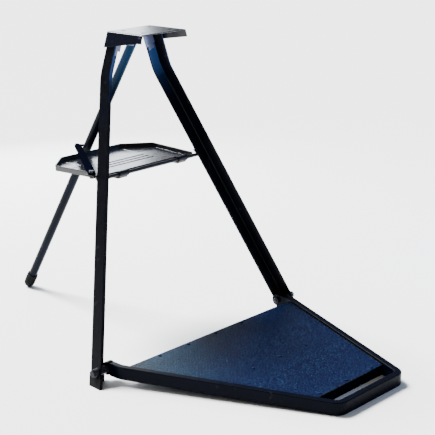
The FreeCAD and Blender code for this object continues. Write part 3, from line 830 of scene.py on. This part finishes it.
@dataclass
class RearLeg:
    """The tubular leg's top plug and the rings moulded round its rubber tip, in millimetres."""

    top: Triple = (0.0, 157.5, 833.0)
    angle: float = math.radians(31.57)
    plug_at: float = 14.5
    plug_height: float = 3.0
    bore: float = 10.6
    tip: Triple = (0.0, 659.5, 16.0)
    tip_radius: float = 16.0
    ring: float = 0.9
    ring_pitch: float = 7.0
    rings: int = 4

    def up(self) -> np.ndarray:
        """Returns the direction up the tube."""
        return np.array([0.0, -math.sin(self.angle), math.cos(self.angle)])

    def build(self) -> List[bpy.types.Object]:
        """Builds the plug and the rings.

        Returns:
            The new objects.
        """
        plug = dome(np.array(self.top) + self.up() * self.plug_at, self.up(), self.bore, self.plug_height)
        rings = [loop_bead(circle(np.array(self.tip) + self.up() * self.ring_pitch * (i + 1), self.up(),
                                  self.tip_radius), self.ring, self.up()) for i in range(self.rings)]
        return [add_piece("tube_plug", Body.REAR_LEG, [plug], FINISHES["tip_rubber"]),
                add_piece("tip_rings", Body.REAR_LEG, rings, FINISHES["tip_rubber"])]


@dataclass
class Tray:
    """The tray's rolled hem, pressed ribs, corner creases and rivet crowns, in millimetres."""

    front_half: float = 177.0
    side_half: float = 194.0
    rear_half: float = 116.0
    corner: float = 9.0
    side_back: float = 191.0
    rear_back: float = 254.0
    front: float = 9.2
    wall_middle: float = 0.8
    hem: float = 1.7
    hem_sunk: float = 0.35
    floor: float = 1.6
    rib_width: float = 4.5
    rib_height: float = 1.3
    rib_rows: Tuple[float, ...] = (104.0, 124.0, 144.0)
    rib_ends: Tuple[float, float] = (-78.0, 106.0)
    crease_meet: Tuple[float, float] = (108.0, 176.0)
    crease_ends: Tuple[Tuple[float, float], ...] = ((168.0, 168.0), (112.0, 236.0))
    crease: Tuple[float, float] = (2.0, 0.6)
    crown: Tuple[float, float] = (3.2, 1.1)
    crown_sunk: float = 0.1
    rivet_reach: float = 12.0

    def rod(self) -> np.ndarray:
        """Returns the middle of the rod that the tray hangs on."""
        low, high = millimetre_box("tray_rod")
        return (low + high) / 2

    def outline(self) -> List[Tuple[float, float]]:
        """Works out the middle of the tray's wall from its half widths.

        Returns:
            Its six corners, from the right front round to the left front.
        """
        y, inset = self.rod()[1], self.wall_middle
        right = [(self.front_half - inset, y + self.front + inset),
                 (self.side_half - inset, y + self.side_back),
                 (self.rear_half, y + self.rear_back - inset)]
        return right + [(-a, b) for a, b in reversed(right)]

    def hem_loop(self) -> List[Patch]:
        """The rolled top of the tray's wall: a plain bead all the way round it.

        Returns:
            The hem.
        """
        top = millimetre_box("tray_pan")[1][2]
        path = rounded_loop(self.outline(), self.corner, top - self.hem * self.hem_sunk)
        return [loop_bead(path, self.hem, (0, 0, 1))]

    def floor_ribs(self) -> List[Patch]:
        """Three plain ribs across the floor, and two creases that meet near each rear corner.

        Returns:
            The ridges, in rows back from the rod.
        """
        z, y = millimetre_box("tray_pan")[0][2] + self.floor, self.rod()[1]
        ribs = [ridge((self.rib_ends[0], y + row, z), (self.rib_ends[1], y + row, z),
                      self.rib_width, self.rib_height) for row in self.rib_rows]
        across, back = self.crease_meet
        for side in (-1, 1):
            ribs += [ridge((side * end[0], y + end[1], z), (side * across, y + back, z), *self.crease)
                     for end in self.crease_ends]
        return ribs

    def rivet_crowns(self) -> List[Patch]:
        """A low crown on each rivet's head.

        Returns:
            The crowns.
        """
        crowns = []
        for points in clusters("tray_clip_rivets", self.rivet_reach):
            low, high = points.min(0), points.max(0)
            crowns.append(dome(((low[0] + high[0]) / 2, (low[1] + high[1]) / 2, high[2] - self.crown_sunk),
                               (0, 0, 1), *self.crown))
        return crowns

    def build(self) -> List[bpy.types.Object]:
        """Builds the tray's pieces.

        Returns:
            The new objects.
        """
        return [add_piece("tray_hem", Body.TRAY, self.hem_loop(), FINISHES["clip_paint"]),
                add_piece("tray_ribs", Body.TRAY, self.floor_ribs(), FINISHES["tray_paint"]),
                add_piece("tray_rivet_crowns", Body.TRAY, self.rivet_crowns(), FINISHES["rivet_steel"])]


@dataclass
class Platform:
    """The deck's raised dashes, its seams, rivet crowns and the cross bars' welds, in millimetres."""

    dash_length: float = 7.0
    dash_width: float = 2.4
    dash_height: float = 0.55
    pitch_across: float = 11.5
    pitch_along: float = 5.6
    margin: float = 9.0
    jitter: float = 0.5
    turn: float = 0.12
    sunk: float = 0.03
    rivet_clear: float = 8.0
    seam: float = 1.1
    seam_pitch: float = 9.0
    seam_inset: float = 1.0
    weld: float = 2.2
    weld_gap: float = 0.2
    weld_low: float = 1.15
    weld_high: float = 2.0
    crown: Tuple[float, float] = (4.4, 1.2)
    crown_sunk: float = 0.15
    end_band: float = 3.0
    level: Tuple[float, float] = field(default=(0.0, 0.0), init=False)
    sides: Tuple[float, float] = field(default=(0.0, 0.0), init=False)
    reach: Tuple[float, float] = field(default=(0.0, 0.0), init=False)

    def __post_init__(self) -> None:
        """Reads the deck's slope and taper off its panel."""
        points = node_points("deck_panel")
        front, rear = points[:, 1].min(), points[:, 1].max()
        ends = []
        for y in (front, rear):
            near = points[np.abs(points[:, 1] - y) < self.end_band]
            ends.append((near[:, 2].max(), np.abs(near[:, 0]).max()))
        run = rear - front
        slope = (ends[1][0] - ends[0][0]) / run
        taper = (ends[1][1] - ends[0][1]) / run
        self.level = (slope, ends[0][0] - slope * front)
        self.sides = (taper, ends[0][1] - taper * front)
        self.reach = (float(front), float(rear))

    def height(self, y: np.ndarray) -> np.ndarray:
        """Returns the deck's top at a distance along Y."""
        return self.level[0] * y + self.level[1]

    def half_width(self, y: float) -> float:
        """Returns half the deck's width at a distance along Y."""
        return self.sides[0] * y + self.sides[1]

    def rivets(self) -> List[np.ndarray]:
        """Returns the middle of each deck rivet's head."""
        boxes = [(p.min(0), p.max(0)) for p in clusters("deck_rivets")]
        return [np.array([*(low[:2] + high[:2]) / 2, high[2]]) for low, high in boxes]

    def dash_spots(self) -> np.ndarray:
        """Places the dashes in staggered rows, each a hair off its row, clear of the rivets.

        Returns:
            Their middles, of shape (n, 2).
        """
        spots = []
        rivets = np.array([r[:2] for r in self.rivets()])
        for row, y in enumerate(np.arange(self.reach[0] + self.margin, self.reach[1] - self.margin,
                                          self.pitch_along)):
            half = self.half_width(y) - self.margin
            count = int(half / self.pitch_across)
            xs = np.arange(-count, count + 1) * self.pitch_across + (row % 2) * self.pitch_across / 2
            xs = xs[np.abs(xs) < half]
            shift = RNG.uniform(-self.jitter, self.jitter, (len(xs), 2))
            spots.append(np.stack([xs, np.full(len(xs), y)], 1) + shift)
        spots = np.vstack(spots)
        away = np.linalg.norm(spots[:, None] - rivets[None], axis=2).min(1)
        return spots[away > self.rivet_clear]

    def dashes(self) -> List[Patch]:
        """Raised dashes: height (1 - u^4)(1 - v^2) over each one's length u and width v.

        Returns:
            One surface that holds every dash.
        """
        spots = self.dash_spots()
        u, v = np.meshgrid([-1, -0.7, 0, 0.7, 1], [-1, 0, 1], indexing="ij")
        rise = (1 - u ** 4) * (1 - v ** 2) * self.dash_height - self.sunk
        cell, quads = grid_patch(np.stack([u * self.dash_length / 2, v * self.dash_width / 2, rise], 2))
        angle = RNG.uniform(-self.turn, self.turn, len(spots))[:, None]
        x = cell[None, :, 0] * np.cos(angle) - cell[None, :, 1] * np.sin(angle) + spots[:, :1]
        y = cell[None, :, 0] * np.sin(angle) + cell[None, :, 1] * np.cos(angle) + spots[:, 1:]
        points = np.stack([x, y, self.height(y) + cell[None, :, 2]], 2)
        faces = quads[None] + (np.arange(len(spots)) * len(cell))[:, None, None]
        return [(points.reshape(-1, 3), faces.reshape(-1, 4))]

    def seams(self) -> List[Patch]:
        """A thin line of filler down each side of the deck.

        Returns:
            The left line, then the right.
        """
        a, b = self.reach[0] + self.seam_inset, self.reach[1] - self.seam_inset
        return [bead((s * self.half_width(a), a, self.height(a)), (s * self.half_width(b), b, self.height(b)),
                     self.seam, (0, 0, 1), pitch=self.seam_pitch) for s in (-1, 1)]

    def bar_welds(self) -> List[Patch]:
        """Beads up both faces and along the underside of each cross bar's ends.

        Returns:
            The beads.
        """
        beads = []
        for node in ("deck_rear_bar", "deck_mid_bar", "hand_slot_bar"):
            low, high = millimetre_box(node)
            for side in (-1, 1):
                corners = [(side * (self.half_width(y) + self.weld_gap), y) for y in (low[1], high[1])]
                for x, y in corners:
                    beads.append(bead((x, y, low[2] + self.weld), (x, y, high[2] - self.weld_high),
                                      self.weld, (side, 0, 0)))
                (xa, ya), (xb, yb) = corners
                foot = low[2] + self.weld * self.weld_low
                beads.append(bead((xa, ya, foot), (xb, yb, foot), self.weld, (0, 0, 1)))
        return beads

    def build(self) -> List[bpy.types.Object]:
        """Builds the platform's pieces.

        Returns:
            The new objects.
        """
        crowns = [dome(spot - (0, 0, self.crown_sunk), (0, -self.level[0], 1), *self.crown)
                  for spot in self.rivets()]
        return [add_piece("deck_dashes", Body.PLATFORM, self.dashes(), FINISHES["deck_paint"]),
                add_piece("deck_seams", Body.PLATFORM, self.seams(), FINISHES["rim_paint"]),
                add_piece("deck_rivet_crowns", Body.PLATFORM, crowns, FINISHES["rivet_steel"]),
                add_piece("bar_welds", Body.PLATFORM, self.bar_welds(), FINISHES["bar_paint"])]


@dataclass
class Fasteners:
    """A raised ring on each bolt head, where its chamfer meets its face, in millimetres."""

    ring: float = 0.5
    pivot_ring: float = 6.4
    small_ring: float = 4.6

    def head_ring(self, centre: Sequence[float], axis: Triple, radius: float) -> Patch:
        """Returns a plain bead round a circle on a bolt head."""
        return loop_bead(circle(centre, axis, radius), self.ring, axis)

    def build(self) -> List[bpy.types.Object]:
        """Builds the rings.

        Returns:
            The new object.
        """
        rings, across, up = [], (1, 0, 0), (0, 0, 1)
        for side, corner in (("left", 0), ("right", 1)):
            bolt, nut = millimetre_box(f"{side}_pivot_bolt"), millimetre_box(f"{side}_pivot_nut")
            middle = (nut[0] + nut[1]) / 2
            rings.append(self.head_ring((bolt[corner][0], middle[1], middle[2]), across, self.pivot_ring))
        low, high = millimetre_box("rear_hinge_bolt")
        middle = (low + high) / 2
        rings.append(self.head_ring((low[0], middle[1], middle[2]), across, self.small_ring))
        low, high = millimetre_box("lock_bar_bolt")
        middle = (low + high) / 2
        rings.append(self.head_ring((middle[0], middle[1], high[2]), up, self.small_ring))
        return [add_piece("bolt_head_rings", Body.STAND, rings, FINISHES["fastener_steel"])]


@dataclass(frozen=True)
class Panel:
    """A soft panel light, in metres and watts."""

    name: str
    place: Triple
    aim: Triple
    size: Tuple[float, float]
    power: float
    tint: Triple

    def hang(self) -> None:
        """Hangs the panel, turned to face the point it aims at, where the camera doesn't see it."""
        data = bpy.data.lights.new(self.name, "AREA")
        data.shape, data.energy, data.color = "RECTANGLE", self.power, self.tint
        data.size, data.size_y = self.size
        light = bpy.data.objects.new(self.name, data)
        bpy.context.scene.collection.objects.link(light)
        light.visible_camera = False
        light.location = self.place
        light.rotation_euler = (Vector(self.aim) - Vector(self.place)).to_track_quat("-Z", "Y").to_euler()


@dataclass
class Studio:
    """The floor, the light and the camera, in metres."""

    camera: Triple = (-2.4530, -2.3663, 1.3281)
    azimuth: float = math.radians(-47.9)
    elevation: float = math.radians(16.0)
    roll: float = math.radians(-0.4)
    lens: float = 105.4
    sensor: float = 36.0
    clip: Tuple[float, float] = (0.05, 60.0)
    floor_size: float = 30.0
    floor_colour: Triple = (0.92, 0.92, 0.92)
    floor_roughness: float = 0.9
    sky: float = 0.25
    sun: float = 16.0
    sun_spread: float = math.radians(24)
    sun_from: Triple = (-0.05, 0.62, 0.78)
    panels: Tuple[Panel, ...] = (
        Panel("sheen", (0.95, 2.1, 1.15), (-0.2, 0.1, 0.3), (1.5, 1.7), 60.0, (0.86, 0.92, 1.0)),
        Panel("low_fill", (1.6, -0.83, 0.58), (0.10, 0.17, 0.80), (0.8, 0.5), 12.0, (0.22, 0.48, 1.0)))

    def floor(self) -> None:
        """Lays the floor."""
        half = self.floor_size / 2
        mesh = bpy.data.meshes.new("floor")
        corners = [(-half, -half, 0), (half, -half, 0), (half, half, 0), (-half, half, 0)]
        mesh.from_pydata(corners, [], [(0, 1, 2, 3)])
        material = bpy.data.materials.new("floor")
        material.use_nodes = True
        shader = material.node_tree.nodes["Principled BSDF"]
        shader.inputs["Base Color"].default_value = (*self.floor_colour, 1.0)
        shader.inputs["Roughness"].default_value = self.floor_roughness
        mesh.materials.append(material)
        floor = bpy.data.objects.new("floor", mesh)
        bpy.context.scene.collection.objects.link(floor)

    def overhead(self) -> None:
        """Lights the floor evenly from above, as a broad soft sun."""
        data = bpy.data.lights.new("overhead", "SUN")
        data.energy, data.angle = self.sun, self.sun_spread
        light = bpy.data.objects.new("overhead", data)
        bpy.context.scene.collection.objects.link(light)
        light.rotation_euler = Vector(self.sun_from).to_track_quat("Z", "Y").to_euler()

    def build(self) -> None:
        """Sets the floor, sky, lights and camera."""
        self.floor()
        world = bpy.data.worlds.new("sky")
        world.use_nodes = True
        backdrop = world.node_tree.nodes["Background"]
        backdrop.inputs["Color"].default_value = (1.0, 1.0, 1.0, 1.0)
        backdrop.inputs["Strength"].default_value = self.sky
        bpy.context.scene.world = world
        self.overhead()
        for panel in self.panels:
            panel.hang()
        self.aim_camera()

    def aim_camera(self) -> None:
        """Stands the camera at its place, turned by its azimuth, elevation and roll."""
        a, e, r = self.azimuth, self.elevation, self.roll
        back = Vector((math.sin(a) * math.cos(e), -math.cos(a) * math.cos(e), math.sin(e)))
        level = Vector((math.cos(a), math.sin(a), 0))
        up = back.cross(level)
        right = math.cos(r) * level + math.sin(r) * up
        rise = -math.sin(r) * level + math.cos(r) * up
        data = bpy.data.cameras.new("camera")
        data.lens, data.sensor_width = self.lens, self.sensor
        data.clip_start, data.clip_end = self.clip
        camera = bpy.data.objects.new("camera", data)
        bpy.context.scene.collection.objects.link(camera)
        turn = Matrix((right, rise, back)).transposed().to_4x4()
        camera.matrix_world = Matrix.Translation(Vector(self.camera)) @ turn
        bpy.context.scene.camera = camera


def main() -> None:
    """Dresses the CAD nodes, builds every sub-assembly's pieces in order and sets the studio."""
    logging.basicConfig(level=logging.INFO, format="%(name)s: %(message)s")
    dress_nodes()
    for part in (FrontLegs(), TopPlate(), RearLeg(), Tray(), Platform(), Fasteners()):
        for piece in part.build():
            LOG.info("%s built %s", type(part).__name__, piece.name)
    Studio().build()


if __name__ == "__main__":
    main()
